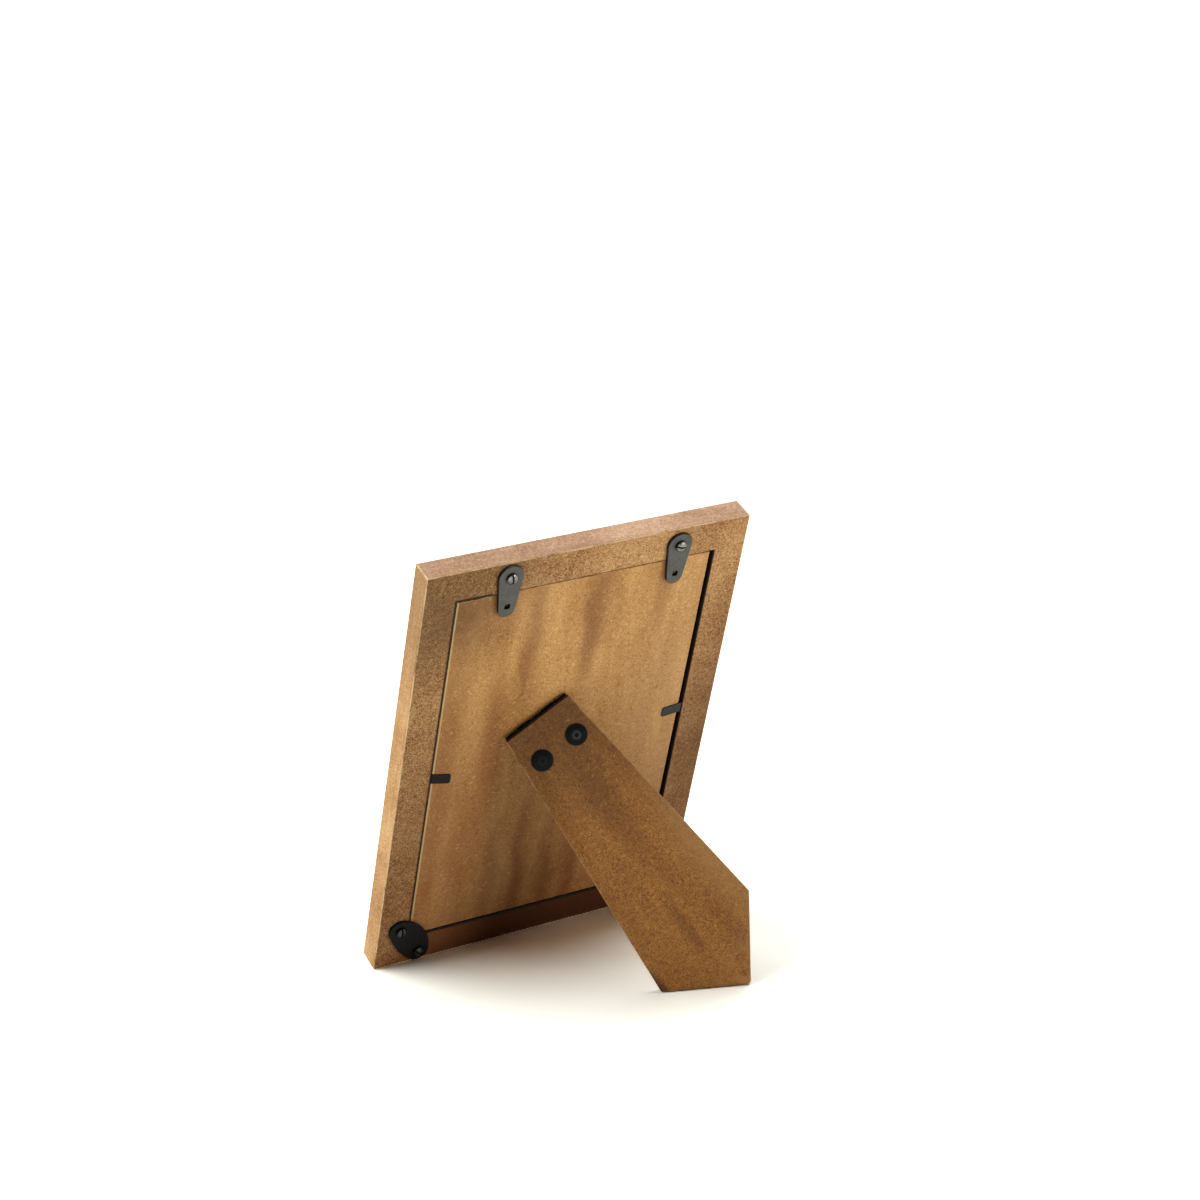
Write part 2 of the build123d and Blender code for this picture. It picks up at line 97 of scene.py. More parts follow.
# %% Nodes and colours
def linear(code):
    """Linear colour of an sRGB hex value such as #a97d48, with the constants of that standard."""
    parts = [int(code[place:place + 2], 16) / 255 for place in (1, 3, 5)]
    return [*((part + 0.055) ** 2.4 / 1.055 ** 2.4 if part > 0.04045 else part / 12.92
              for part in parts), 1]


def join(tree, node, inputs):
    """Set a node's inputs, or link them to other nodes or sockets. Text is a colour."""
    for name, value in inputs.items():
        if isinstance(value, bpy.types.Node):
            value = next(socket for socket in value.outputs if socket.enabled)
        if isinstance(value, str):
            value = linear(value)
        if isinstance(value, bpy.types.NodeSocket):
            tree.links.new(value, node.inputs[name])
        else:
            node.inputs[name].default_value = value


def add_node(tree, kind, inputs, stops=(), **settings):
    """Add a node with its properties, inputs and colour stops.

    Inputs of one name go by number: a mix of colours takes its share at 0 and the colours at 6 and 7.
    A colour ramp starts with two stops, for its ends, so those come first.
    """
    node = tree.nodes.new("ShaderNode" + kind)
    for name, value in settings.items():
        setattr(node, name, value)
    join(tree, node, inputs)
    for index, (place, colour) in enumerate(stops):
        ramp = node.color_ramp.elements
        stop = ramp[index] if index < 2 else ramp.new(place)
        stop.position = place
        stop.color = linear(colour)
    return node


print("a brown of #a97d48 is", [round(level, 3) for level in linear("#a97d48")[:3]], "in linear light")

# %% [markdown]
# ## Start of a finish
# A finish starts from one shader, whose own sockets take what is the same all over. A pattern needs to
# know where a point lies on its board and which way it faces there, both along the board's own axes.

# %% Start of a finish
def start_material(name, roughness, **sockets):
    """A new material, with its tree and its shader."""
    material = bpy.data.materials.new(name)
    material.use_nodes = True
    shader = material.node_tree.nodes["Principled BSDF"]
    shader.inputs["Roughness"].default_value = roughness
    for socket, value in sockets.items():
        shader.inputs[socket.replace("_", " ")].default_value = value
    return material, material.node_tree, shader


def board_place(tree, axes):
    """Places on a piece, along the own axes of its board."""
    turn, shift = axes
    source = tree.nodes.new("ShaderNodeTexCoord")
    return add_node(tree, "Mapping", {
        "Vector": source.outputs["Object"], "Rotation": turn, "Location": shift})


def board_facing(tree, axes):
    """Directions that the surface of a piece faces, along the own axes of its board."""
    source = tree.nodes.new("ShaderNodeTexCoord")
    return add_node(tree, "Mapping", {
        "Vector": source.outputs["Normal"], "Rotation": axes[0]}, vector_type="VECTOR")


def dress(material, *names):
    """Give pieces a material in place of the one that they have."""
    for name in names:
        mesh = nodes[name].data
        mesh.materials.clear()
        mesh.materials.append(material)
    print(material.name, "on", ", ".join(names))


shift = [round(value / MM, 1) for value in frame_axes[1]]
print("places on the frame are turned to its lean and shifted by", shift, "mm")

# %% [markdown]
# ## Darker patches
# Three kinds of mark turn up on more than one board. The upper left corner is darker, a painted shade
# where the light from the right falls off. Towards one end, a board deepens in colour, which is settled
# stain on some boards and painted shade on others. And stain gathered in soft, oval blots and runs. Each
# is a mask that mixes a deeper colour in.

# %% Darker patches
CLOUD = 24 * MM
CLOUDS = {"Scale": 1 / CLOUD, "Detail": 3.0, "Roughness": 0.6}
SHADE_CORE = 22 * MM
SHADE_REACH = 62 * MM


def painted_corner_shade(tree, place, clouds):
    """Share of painted shade around the upper left corner."""
    corner = (frame_half_width, 0, frame_height)
    away = add_node(tree, "VectorMath", {0: place, 1: corner}, operation="DISTANCE")
    near = add_node(tree, "MapRange", {
        "Value": away.outputs["Value"], "From Min": SHADE_REACH, "From Max": SHADE_CORE},
        interpolation_type="SMOOTHSTEP")
    patchy = add_node(tree, "MapRange", {
        "Value": clouds, "From Min": 0.3, "From Max": 0.7, "To Min": 0.35, "To Max": 0.75})
    return add_node(tree, "Math", {0: near, 1: patchy}, operation="MULTIPLY")


def stain_and_painted_light(tree, colour, value, start, end, share, deep):
    """A colour that deepens as a value goes from start to end."""
    depth = add_node(tree, "MapRange", {
        "Value": value, "From Min": start, "From Max": end, "To Max": share},
        interpolation_type="SMOOTHSTEP")
    return add_node(tree, "Mix", {0: depth, 6: colour, 7: deep}, data_type="RGBA")


def blotted(tree, colour, place, centre, reach, share, deep):
    """A colour with a soft oval blot. A reach of zero leaves an axis out."""
    scale = [1 / length if length else 0 for length in reach]
    shift = [-middle * size for middle, size in zip(centre, scale)]
    oval = add_node(tree, "Mapping", {"Vector": place, "Scale": scale, "Location": shift})
    away = add_node(tree, "VectorMath", {0: oval}, operation="LENGTH")
    # The blot starts at its rim, at 1, and is deepest within a tenth of its reach.
    return stain_and_painted_light(tree, colour, away.outputs["Value"], 1, 0.1, share, deep)


print("grime reaches", round(SHADE_REACH / MM), "mm from the upper left corner")

# %% [markdown]
# ## Raw back of the mouldings
# The mouldings are medium density fibreboard: wood fibres pressed with resin, cut to a profile and
# stained brown. Their back was left raw, so it is freckled with pale fibres and dark pits. It darkens
# towards the foot, a painted shade of the shadowed floor below, and towards the left, a painted shade
# where the light from the right falls off. Two noises give the freckles and the flecks, and soft ranges
# along the frame deepen them.

# %% Raw back of the mouldings
# Real fibres are about a tenth of a millimetre wide. Both sizes are drawn coarser, so that they show.
FRECKLE = 0.8 * MM
FLECK = 0.95 * MM
DARK_SIDE = 18 * MM

brown_back = ((0.0, "#583617"), (1.0, "#deb680"), (0.3, "#90633a"), (0.6, "#bc9060"))


def raw_back(tree, place, tone, damp_and_shade):
    """Freckles, pale flecks, dark pits, and painted shade towards the foot and towards the left."""
    parts = add_node(tree, "SeparateXYZ", {"Vector": place})
    tone = add_node(tree, "MapRange", {"Value": tone, "From Min": 0.95, "From Max": 2.05})
    colour = add_node(tree, "ValToRGB", {"Fac": tone}, stops=brown_back)
    flecks = add_node(tree, "TexNoise", {
        "Vector": place, "Scale": 1 / FLECK, "Detail": 1.0, "Distortion": 2.0})
    # Pale fibres stand out on the left, where the back was sanded least.
    least_sanded = add_node(tree, "MapRange", {
        "Value": parts.outputs["X"], "From Min": -frame_half_width, "From Max": frame_half_width,
        "To Min": 0.05, "To Max": 0.95})
    pale = add_node(tree, "MapRange", {"Value": flecks, "From Min": 0.56, "From Max": 0.67})
    pale = add_node(tree, "Math", {0: least_sanded, 1: pale}, operation="MULTIPLY")
    colour = add_node(tree, "Mix", {0: pale, 6: colour, 7: "#d8b883"}, data_type="RGBA")
    pits = add_node(tree, "MapRange", {"Value": flecks, "From Min": 0.44, "From Max": 0.32})
    pits = add_node(tree, "Math", {0: least_sanded, 1: pits}, operation="MULTIPLY")
    colour = add_node(tree, "Mix", {0: pits, 6: colour, 7: "#4a2b12"}, data_type="RGBA")
    # Painted shade: darker towards the foot, where the floor below lies in shadow.
    colour = stain_and_painted_light(tree, colour, parts.outputs["Z"], 0.85 * frame_height, 0.25 * frame_height,
                     0.42, "#53290b")
    colour = blotted(tree, colour, place, (-frame_half_width, 0, 0.5 * frame_height),
                     (DARK_SIDE, 0, 0.4 * frame_height), 0.35, "#4a2c12")
    # Painted shade: darker towards the left, where the light from the right falls off.
    colour = stain_and_painted_light(tree, colour, parts.outputs["X"], 0, frame_half_width, 0.25, "#5f3010")
    # A damp piece turned red right of the corner plate. Towards its middle it is darker, partly a deeper
    # stain and partly painted shade of the strut and of the shadowed floor.
    colour = stain_and_painted_light(tree, colour, parts.outputs["X"], 0.9 * frame_half_width, 0.66 * frame_half_width,
                     damp_and_shade, "#633619")
    return stain_and_painted_light(tree, colour, parts.outputs["X"], 0.75 * frame_half_width, 0.15 * frame_half_width,
                   damp_and_shade, "#3a1d0e")


print("freckles of", round(FRECKLE / MM, 2), "mm and flecks of", round(FLECK / MM, 2), "mm")

# %% [markdown]
# ## Rabbet
# The mouldings have a step at their inner edge, the rabbet, which takes the glass, the sheet, the card
# and the board. Wear and dirt follow it. So its size is read from the largest faces that look inwards,
# and a tree of nodes works out how far a point lies outside it.

# %% Rabbet
def inner_wall(node, direction):
    """Middle of the largest face of a node that looks along a direction."""
    faces = [face for face in nodes[node].data.polygons if face.normal.dot(direction) > 0.99]
    return max(faces, key=lambda face: face.area).center


rabbet_half_width = inner_wall("left_stile", -across_frame).x
rabbet_foot = inner_wall("bottom_rail", up_frame).dot(up_frame) - frame_foot
rabbet_floor = span("glass_pane", out_of_back)[0] - frame_back
rabbet_middle = Vector((0, 0, frame_height / 2))
rabbet_half = Vector((rabbet_half_width, 0, frame_height / 2 - rabbet_foot))


def past_rabbet(tree, place):
    """How far a place lies outside the rabbet, across or up and down."""
    beside = add_node(tree, "VectorMath", {0: place, 1: rabbet_middle}, operation="SUBTRACT")
    beside = add_node(tree, "VectorMath", {0: beside}, operation="ABSOLUTE")
    beyond = add_node(tree, "VectorMath", {0: beside, 1: rabbet_half}, operation="SUBTRACT")
    beyond = add_node(tree, "SeparateXYZ", {"Vector": beyond})
    return add_node(tree, "Math", {0: beyond.outputs["X"], 1: beyond.outputs["Z"]}, operation="MAXIMUM")


print("the rabbet is", round(2 * rabbet_half_width / MM, 1), "mm wide")

# %% [markdown]
# ## Worn edges
# Hands wore the eased outer edges pale, in patches. An eased edge is where the surface faces between
# two of the board's axes, so its facing gives the wear a place, with no painting by hand. The edges
# near the rabbet are left out, because hands don't rub there.

# %% Worn edges
WEAR_PATCH = 9 * MM
HANDLED_FROM = 5 * MM


def rubbed_edge(tree, place, facing, past):
    """Share of wear on the outer eased edges, which hands rub pale in places."""
    sides = add_node(tree, "VectorMath", {0: facing}, operation="ABSOLUTE")
    sides = add_node(tree, "SeparateXYZ", {"Vector": sides})
    flatness = add_node(tree, "Math", {0: sides.outputs["Y"], 1: sides.outputs["Z"]}, operation="MAXIMUM")
    flatness = add_node(tree, "Math", {0: sides.outputs["X"], 1: flatness}, operation="MAXIMUM")
    edge = add_node(tree, "MapRange", {
        "Value": flatness, "From Min": 0.97, "From Max": 0.85, "To Max": 0.9},
        interpolation_type="SMOOTHSTEP")
    patches = add_node(tree, "TexNoise", {
        "Vector": place, "Scale": 1 / WEAR_PATCH, "Detail": 4.0, "Roughness": 0.7})
    rubbed = add_node(tree, "MapRange", {"Value": patches, "From Min": 0.36, "From Max": 0.54})
    rubbed = add_node(tree, "Math", {0: edge, 1: rubbed}, operation="MULTIPLY")
    outer = add_node(tree, "Math", {0: past, 1: HANDLED_FROM}, operation="GREATER_THAN")
    return add_node(tree, "Math", {0: rubbed, 1: outer}, operation="MULTIPLY")


print("edges are worn in patches of about", round(WEAR_PATCH / MM), "mm")

# %% [markdown]
# ## Dark gaps
# The gap round the backing board lies in deep shade, and that shade is painted: the walls of the rabbet
# are dark behind the face of the glass, and a narrow rim of the back is dark too, so that the gap looks
# as wide as it does on the real frame. In front of the glass the walls keep their stain.

# %% Dark gaps
def gap_shade(tree, place, past, gap_width, gap_start):
    """Share of painted shade, black, on the walls and the back rim of the rabbet, left of where the gap
    starts.
    """
    rim = add_node(tree, "MapRange", {"Value": past, "From Min": gap_width, "From Max": gap_width / 2})
    parts = add_node(tree, "SeparateXYZ", {"Vector": place})
    open_gap = add_node(tree, "Math", {0: parts.outputs["X"], 1: gap_start}, operation="GREATER_THAN")
    behind = add_node(tree, "Math", {0: parts.outputs["Y"], 1: rabbet_floor}, operation="GREATER_THAN")
    rim = add_node(tree, "Math", {0: rim, 1: open_gap}, operation="MULTIPLY")
    return add_node(tree, "Math", {0: rim, 1: behind}, operation="MULTIPLY")


print("the walls of the rabbet are dark down to", round(-rabbet_floor / MM, 1), "mm below the back")

# %% [markdown]
# ## Outer faces of the mouldings
# The sanded outer faces took the stain smoothly, in faint strokes along the moulding, and they are
# pinkish on top and golden at the sides. Noise that is stretched along the moulding draws the strokes,
# and the facing of the surface, squared, mixes the two tones.

# %% Outer faces of the mouldings
STROKE_WIDTH = 2.2 * MM
STROKE_LENGTH = 40 * MM

pinkish_outside = ((0.0, "#805d43"), (1.0, "#d9b699"), (0.5, "#b38d6e"))
golden_outside = ((0.0, "#87592f"), (1.0, "#e0b884"), (0.5, "#bd8f5c"))


def brushed_outside(tree, place, facing, stroke, freckles, clouds):
    """Colour of the outer faces: strokes, freckles and clouds, pinkish on top and golden at the sides."""
    run = add_node(tree, "Mapping", {"Vector": place, "Scale": stroke})
    strokes = add_node(tree, "TexNoise", {"Vector": run, "Scale": 1.0, "Detail": 3.0, "Roughness": 0.65})
    tone = add_node(tree, "Math", {0: strokes, 1: 0.5}, operation="MULTIPLY")
    tone = add_node(tree, "Math", {0: freckles, 1: 1.5, 2: tone}, operation="MULTIPLY_ADD")
    tone = add_node(tree, "Math", {0: clouds, 1: 0.9, 2: tone}, operation="MULTIPLY_ADD")
    tone = add_node(tree, "MapRange", {"Value": tone, "From Min": 1.0, "From Max": 1.9})
    sides = add_node(tree, "VectorMath", {0: facing, 1: facing}, operation="MULTIPLY")
    golden = add_node(tree, "VectorMath", {0: sides, 1: (1, 0.5, 0)}, operation="DOT_PRODUCT")
    return add_node(tree, "Mix", {
        0: golden.outputs["Value"],
        6: add_node(tree, "ValToRGB", {"Fac": tone}, stops=pinkish_outside),
        7: add_node(tree, "ValToRGB", {"Fac": tone}, stops=golden_outside)}, data_type="RGBA")


print("strokes of", round(STROKE_WIDTH / MM, 1), "by", round(STROKE_LENGTH / MM), "mm")

# %% [markdown]
# ## Stained fibreboard
# One finish puts the faces together: the raw back where the surface faces backwards, the smoother outside
# elsewhere, then the painted shade of the corner, the worn edges and the painted shade of the gap on top,
# and last a slight relief of fibres. Each moulding gets a material of its own, because its strokes run
# along it and its gap has its own width.

# %% Stained fibreboard
FIBRE_RELIEF = 0.1 * MM


def stained_fibreboard(name, stroke, damp_and_shade, gap_width, gap_start):
    """Matt brown fibreboard with a freckled raw back, smoother outer faces and pale worn edges."""
    material, tree, shader = start_material(name, 0.65, Specular_IOR_Level=0.14)
    place = board_place(tree, frame_axes)
    facing = board_facing(tree, frame_axes)
    clouds = add_node(tree, "TexNoise", {"Vector": place, **CLOUDS})
    freckles = add_node(tree, "TexNoise", {
        "Vector": place, "Scale": 1 / FRECKLE, "Detail": 2.0, "Roughness": 0.6, "Distortion": 1.2})
    freckled = add_node(tree, "Math", {0: freckles, 1: 2.0, 2: clouds}, operation="MULTIPLY_ADD")
    ways = add_node(tree, "SeparateXYZ", {"Vector": facing})
    raw = add_node(tree, "MapRange", {"Value": ways.outputs["Y"], "From Min": 0.7, "From Max": 0.95})
    colour = add_node(tree, "Mix", {
        0: raw, 6: brushed_outside(tree, place, facing, stroke, freckles, clouds),
        7: raw_back(tree, place, freckled, damp_and_shade)}, data_type="RGBA")
    # The painted shade of the corner lies most on the back, some on the sides and next to none on the
    # top, which the light from above reaches.
    shade_by_facing = add_node(tree, "VectorMath", {0: facing, 1: (0.5, 1, 0.1)}, operation="DOT_PRODUCT")
    corner_shade = add_node(tree, "Math", {
        0: shade_by_facing.outputs["Value"], 1: painted_corner_shade(tree, place, clouds)},
        operation="MULTIPLY", use_clamp=True)
    colour = add_node(tree, "Mix", {0: corner_shade, 6: colour, 7: "#4d3018"}, data_type="RGBA")
    past = past_rabbet(tree, place)
    worn = rubbed_edge(tree, place, facing, past)
    colour = add_node(tree, "Mix", {0: worn, 6: colour, 7: "#e7cb9a"}, data_type="RGBA")
    shade = gap_shade(tree, place, past, gap_width, gap_start)
    # Painted shade in the gap round the backing board.
    colour = add_node(tree, "Mix", {0: shade, 6: colour, 7: "#120a06"}, data_type="RGBA")
    bump = add_node(tree, "Bump", {"Height": freckled, "Strength": 0.35, "Distance": FIBRE_RELIEF})
    join(tree, shader, {"Base Color": colour, "Normal": bump})
    return material


print("fibres stand out by up to", round(FIBRE_RELIEF / MM, 2), "mm")

# %% [markdown]
# ## The four mouldings
# Four mitred pieces of moulding stand round the board. The gap that they leave there shows as a black
# line of painted shade. It is widest at the top, where it only opens left of the left turn button. One
# function makes all four finishes, because they differ only in how their strokes run, in how dark their
# back is and in the width of the gap. The bottom rail is dark: it stood in the damp, and painted shade
# adds the strut's shadow and that of the floor below it.

# %% The four mouldings
TOP_GAP = 1.2 * MM
RIGHT_GAP = 0.7 * MM
LEFT_GAP = 1.1 * MM
FOOT_GAP = 0.9 * MM
TOP_GAP_START = 38 * MM
DRY = 0.0
DAMP_AND_SHADE = 0.8

all_along = -2 * frame_half_width
rail_stroke = (1 / STROKE_LENGTH, 1 / STROKE_WIDTH, 1 / STROKE_WIDTH)
stile_stroke = (1 / STROKE_WIDTH, 1 / STROKE_WIDTH, 1 / STROKE_LENGTH)
for piece, stroke, damp_and_shade, gap_width, gap_start in (
        ("top_rail", rail_stroke, DRY, TOP_GAP, TOP_GAP_START),
        ("right_stile", stile_stroke, DRY, RIGHT_GAP, all_along),
        ("left_stile", stile_stroke, DRY, LEFT_GAP, all_along),
        ("bottom_rail", rail_stroke, DAMP_AND_SHADE, FOOT_GAP, all_along)):
    dress(stained_fibreboard("stained_fibreboard_" + piece, stroke, damp_and_shade, gap_width, gap_start), piece)

# %% [markdown]
# ## Face of the hardboard
# The backing board and the strut are thin hardboard. The stain ran down in soft, wavy streaks, so their
# noise is stretched along the board, with thinner strands among them and a grain of pressed fibres over
# all.

# %% Face of the hardboard
STREAK_WIDTH = 12 * MM
STREAK_LENGTH = 62 * MM
STRAND_WIDTH = 3.5 * MM
# Coarser than the real grain, which is too fine to show.
HARDBOARD_GRAIN = 1.0 * MM
HARDBOARD_RELIEF = 0.08 * MM
STRAND_SHARE = 0.15


def hardboard_face(tree, place, stretch, stain, streak_share, grain_share):
    """Colour of the stained face, in streaks and grain, and the grain itself."""
    run = add_node(tree, "Mapping", {"Vector": place, "Scale": stretch})
    streaks = add_node(tree, "TexNoise", {
        "Vector": run, "Scale": 1.0, "Detail": 1.0, "Roughness": 0.4, "Distortion": 0.6})
    strands = add_node(tree, "TexNoise", {
        "Vector": run, "Scale": STREAK_WIDTH / STRAND_WIDTH, "Detail": 2.0, "Roughness": 0.6})
    grain = add_node(tree, "TexNoise", {
        "Vector": place, "Scale": 1 / HARDBOARD_GRAIN, "Detail": 3.0, "Roughness": 0.65,
        "Distortion": 1.8})
    tone = add_node(tree, "Math", {0: streaks, 1: streak_share}, operation="MULTIPLY")
    tone = add_node(tree, "Math", {0: strands, 1: STRAND_SHARE, 2: tone}, operation="MULTIPLY_ADD")
    tone = add_node(tree, "Math", {0: grain, 1: grain_share, 2: tone}, operation="MULTIPLY_ADD")
    middle = (streak_share + STRAND_SHARE + grain_share) / 2
    tone = add_node(tree, "MapRange", {
        "Value": tone, "From Min": middle - 0.4, "From Max": middle + 0.4})
    return add_node(tree, "ValToRGB", {"Fac": tone}, stops=stain), grain


print("streaks of", round(STREAK_WIDTH / MM), "by", round(STREAK_LENGTH / MM), "mm")

# %% [markdown]
# ## Fibres and specks of the hardboard
# Single fibres lie on the surface like short curled hairs: a line where a smooth noise passes a level
# winds like one. Dark specks are bits of bark, one in some of the cells of a Voronoi pattern. Both are
# drawn by nodes, because so many small marks would be tedious to model and too thin to feel.

# %% Fibres and specks of the hardboard
HAIR_LOOP = 3.0 * MM
HAIR_PATCH = 2.2 * MM
SPECK_SPACING = 13 * MM
SPECK_SIZE = 0.75 * MM
# Levels of the noise, which lies between 0 and 1: dark and pale hairs, and half the width of both.
HAIR_LEVELS = (0.4, 0.6)
HAIR_WIDTH = 0.02


def hairs(tree, place, level):
    """Share of short, curled fibres: lines where a noise passes a level, in patches of another noise."""
    loops = add_node(tree, "TexNoise", {"Vector": place, "Scale": 1 / HAIR_LOOP, "Detail": 0.0})
    line = add_node(tree, "Math", {0: loops, 1: level, 2: HAIR_WIDTH}, operation="COMPARE")
    patches = add_node(tree, "TexNoise", {"Vector": place, "Scale": 1 / HAIR_PATCH, "Detail": 0.0})
    patches = add_node(tree, "MapRange", {
        "Value": patches, "From Min": 0.6, "From Max": 0.7, "To Max": 0.4})
    return add_node(tree, "Math", {0: line, 1: patches}, operation="MULTIPLY")


def specks(tree, place):
    """One where a bit of bark shows."""
    cells = add_node(tree, "TexVoronoi", {"Vector": place, "Scale": 1 / SPECK_SPACING})
    # Each cell draws a lot between 0 and 1. Above 0.6 it has a speck, the larger the higher the lot.
    lot = add_node(tree, "SeparateColor", {"Color": cells.outputs["Color"]})
    size = add_node(tree, "MapRange", {
        "Value": lot, "From Min": 0.6, "From Max": 1.0, "To Max": SPECK_SIZE / SPECK_SPACING})
    return add_node(tree, "Math", {0: cells.outputs["Distance"], 1: size}, operation="LESS_THAN")


print("a speck in some of the cells of", round(SPECK_SPACING / MM), "mm")

# %% [markdown]
# ## Details of the hardboard
# The hairs and specks go on top of the stained face. The cut edges of the board are rubbed paler in
# patches, and as the face looks out of the board and a cut edge doesn't, the surface's facing tells
# where they are.

# %% Details of the hardboard
EDGE_PATCH = 5 * MM


def hardboard_details(tree, place, facing, colour, out_axis, hair_colours, edge_colour):
    """The stained face's colour with its fibres, specks and pale cut edges."""
    for hair_colour, level in zip(hair_colours, HAIR_LEVELS):
        colour = add_node(tree, "Mix", {
            0: hairs(tree, place, level), 6: colour, 7: hair_colour}, data_type="RGBA")
    colour = add_node(tree, "Mix", {0: specks(tree, place), 6: colour, 7: "#352212"}, data_type="RGBA")
    ways = add_node(tree, "SeparateXYZ", {"Vector": facing})
    edge = add_node(tree, "MapRange", {
        "Value": ways.outputs[out_axis], "From Min": 0.97, "From Max": 0.8})
    patches = add_node(tree, "TexNoise", {"Vector": place, "Scale": 1 / EDGE_PATCH, "Detail": 3.0})
    rubbed = add_node(tree, "MapRange", {
        "Value": patches, "From Min": 0.4, "From Max": 0.6, "To Max": 0.9})
    worn = add_node(tree, "Math", {0: edge, 1: rubbed}, operation="MULTIPLY")
    return add_node(tree, "Mix", {0: worn, 6: colour, 7: edge_colour}, data_type="RGBA")


print("cut edges are rubbed in patches of about", round(EDGE_PATCH / MM), "mm")

# %% [markdown]
# ## Runs of stain
# Stain ran down the backing board in darker runs, which sway a little on their way. Its lower right is
# darker, a painted shade of the strut and of the floor's shadow, and its right side is paler, a painted
# pool of light from the right. A run is a long oval blot on places that a slow noise has shifted
# sideways. The runs were placed one by one, because each one shows.

# %% Runs of stain
SWAY_LENGTH = 30 * MM
SWAY = 12 * MM
PAINTED_LIGHT_PLACE = (-44 * MM, 0, 90 * MM)
PAINTED_LIGHT_REACH = (30 * MM, 0, 80 * MM)
# Runs in millimetres: place across and up, half the width, half the length, and share of dark stain.
STAIN_RUNS = (
    (0, 150, 7, 52, 0.6),
    (34, 100, 10, 50, 0.5),
    (23, 145, 6, 48, 0.5),
    (54, 100, 12, 85, 0.4),
    (15, 36, 5, 52, 0.6),
    (27, 36, 5, 46, 0.4),
    (42, 40, 5, 44, 0.3),
    (-28, 160, 6, 34, 0.25),
    (50, 172, 26, 30, 0.45),
    (2, 26, 5, 34, 0.45),
    (-9, 24, 6, 36, 0.55))


def runs_of_stain_and_painted_light(tree, colour, place):
    """The face's colour with its dark runs, a painted pool of light on one side and a painted shade
    towards the lower right.
    """
    sway = add_node(tree, "TexNoise", {"Vector": place, "Scale": 1 / SWAY_LENGTH, "Detail": 1.0})
    swayed = add_node(tree, "VectorMath", {
        0: sway.outputs["Color"], 1: (SWAY, 0, 0), 2: place}, operation="MULTIPLY_ADD")
    for across, up, half_width, half_length, share in STAIN_RUNS:
        colour = blotted(tree, colour, swayed, (across * MM, 0, up * MM),
                         (half_width * MM, 0, half_length * MM), share, "#6e3812")
    # Painted light: a paler patch on the right side, where the light from the right falls.
    colour = blotted(tree, colour, place, PAINTED_LIGHT_PLACE, PAINTED_LIGHT_REACH, 0.22, "#d9b485")
    # Painted shade: darker towards the foot, in the shade of the strut and of the shadowed floor.
    depth = add_node(tree, "VectorMath", {0: place, 1: (-0.6, 0, 1)}, operation="DOT_PRODUCT")
    return stain_and_painted_light(tree, colour, depth.outputs["Value"], 0.7 * frame_height, 0.1 * frame_height,
                   0.5, "#602d0b")


print(len(STAIN_RUNS), "runs of stain")

# %% [markdown]
# ## Backing board
# The backing board is golden brown hardboard with a satin face. The painted shade of the frame's upper
# left corner reaches onto it, so the same function puts it on both. Its left edge carries a thin painted
# highlight, where the cut edge catches the light.

# %% Backing board
LIT_EDGE_LINE = 0.9 * MM

golden_stain = ((0.0, "#643b17"), (1.0, "#e0b57a"), (0.35, "#a77740"), (0.65, "#c2935a"))
board_left = span("backing_board", across_frame)[1]


def board_hardboard():
    """Golden brown hardboard with runs of stain and the painted shade of the frame's upper left corner.
    """
    material, tree, shader = start_material("stained_hardboard", 0.55, Specular_IOR_Level=0.22)
    place = board_place(tree, frame_axes)
    facing = board_facing(tree, frame_axes)
    stretch = (1 / STREAK_WIDTH, 1 / STREAK_WIDTH, 1 / STREAK_LENGTH)
    colour, grain = hardboard_face(tree, place, stretch, golden_stain, 0.6, 1.45)
    colour = runs_of_stain_and_painted_light(tree, colour, place)
    clouds = add_node(tree, "TexNoise", {"Vector": place, **CLOUDS})
    corner_shade = painted_corner_shade(tree, place, clouds)
    colour = add_node(tree, "Mix", {0: corner_shade, 6: colour, 7: "#4d3018"}, data_type="RGBA")
    colour = hardboard_details(tree, place, facing, colour, "Y", ("#845526", "#d9b680"), "#d9bb84")
    # A thin painted highlight along the left edge, where the cut edge catches the light.
    parts = add_node(tree, "SeparateXYZ", {"Vector": place})
    colour = stain_and_painted_light(tree, colour, parts.outputs["X"], board_left - LIT_EDGE_LINE, board_left,
                     0.85, "#dfc18a")
    bump = add_node(tree, "Bump", {"Height": grain, "Strength": 0.3, "Distance": HARDBOARD_RELIEF})
    join(tree, shader, {"Base Color": colour, "Normal": bump})
    return material


dress(board_hardboard(), "backing_board")

# %% [markdown]
# ## Stain of the strut
# The strut took a darker coat of stain with a satin face, deepest at its head. Long, soft streaks run
# down it, its right side is paler, the edge at its head lies in the shade of the hinge, and the left
# corner of its foot soaked up dirt from the table. Each of these is one of the traces above, with its
# place on the strut's own axes, so that it stays with the strut when that folds.

# %% Stain of the strut
DARK_HEAD = 60 * MM
HEAD_SHADE_START = -0.1 * MM
HEAD_SHADE_END = -0.4 * MM
PALE_SIDE_PLACE = (75 * MM, 22 * MM, 0)
PALE_SIDE_REACH = (60 * MM, 15 * MM, 0)
CORNER_STAIN = (15 * MM, 4 * MM, 0)
# Streaks in millimetres: place along and across, half the length and width, and share of dark stain.
STRUT_STREAKS = (
    (45, 1, 32, 8, 0.35),
    (97, -3, 22, 4, 0.45),
    (108, 11, 22, 5, 0.18),
    (78, -17, 26, 4, 0.2))

dark_stain = ((0.0, "#43260d"), (1.0, "#c08a48"), (0.35, "#815323"), (0.65, "#9f6a2f"))
strut_points = [point.co - hinge_place for point in nodes["strut"].data.vertices]
left_foot = max(strut_points, key=lambda point: point.dot(down_strut - across_strut))
left_foot_place = (left_foot.dot(down_strut), left_foot.dot(across_strut), 0)


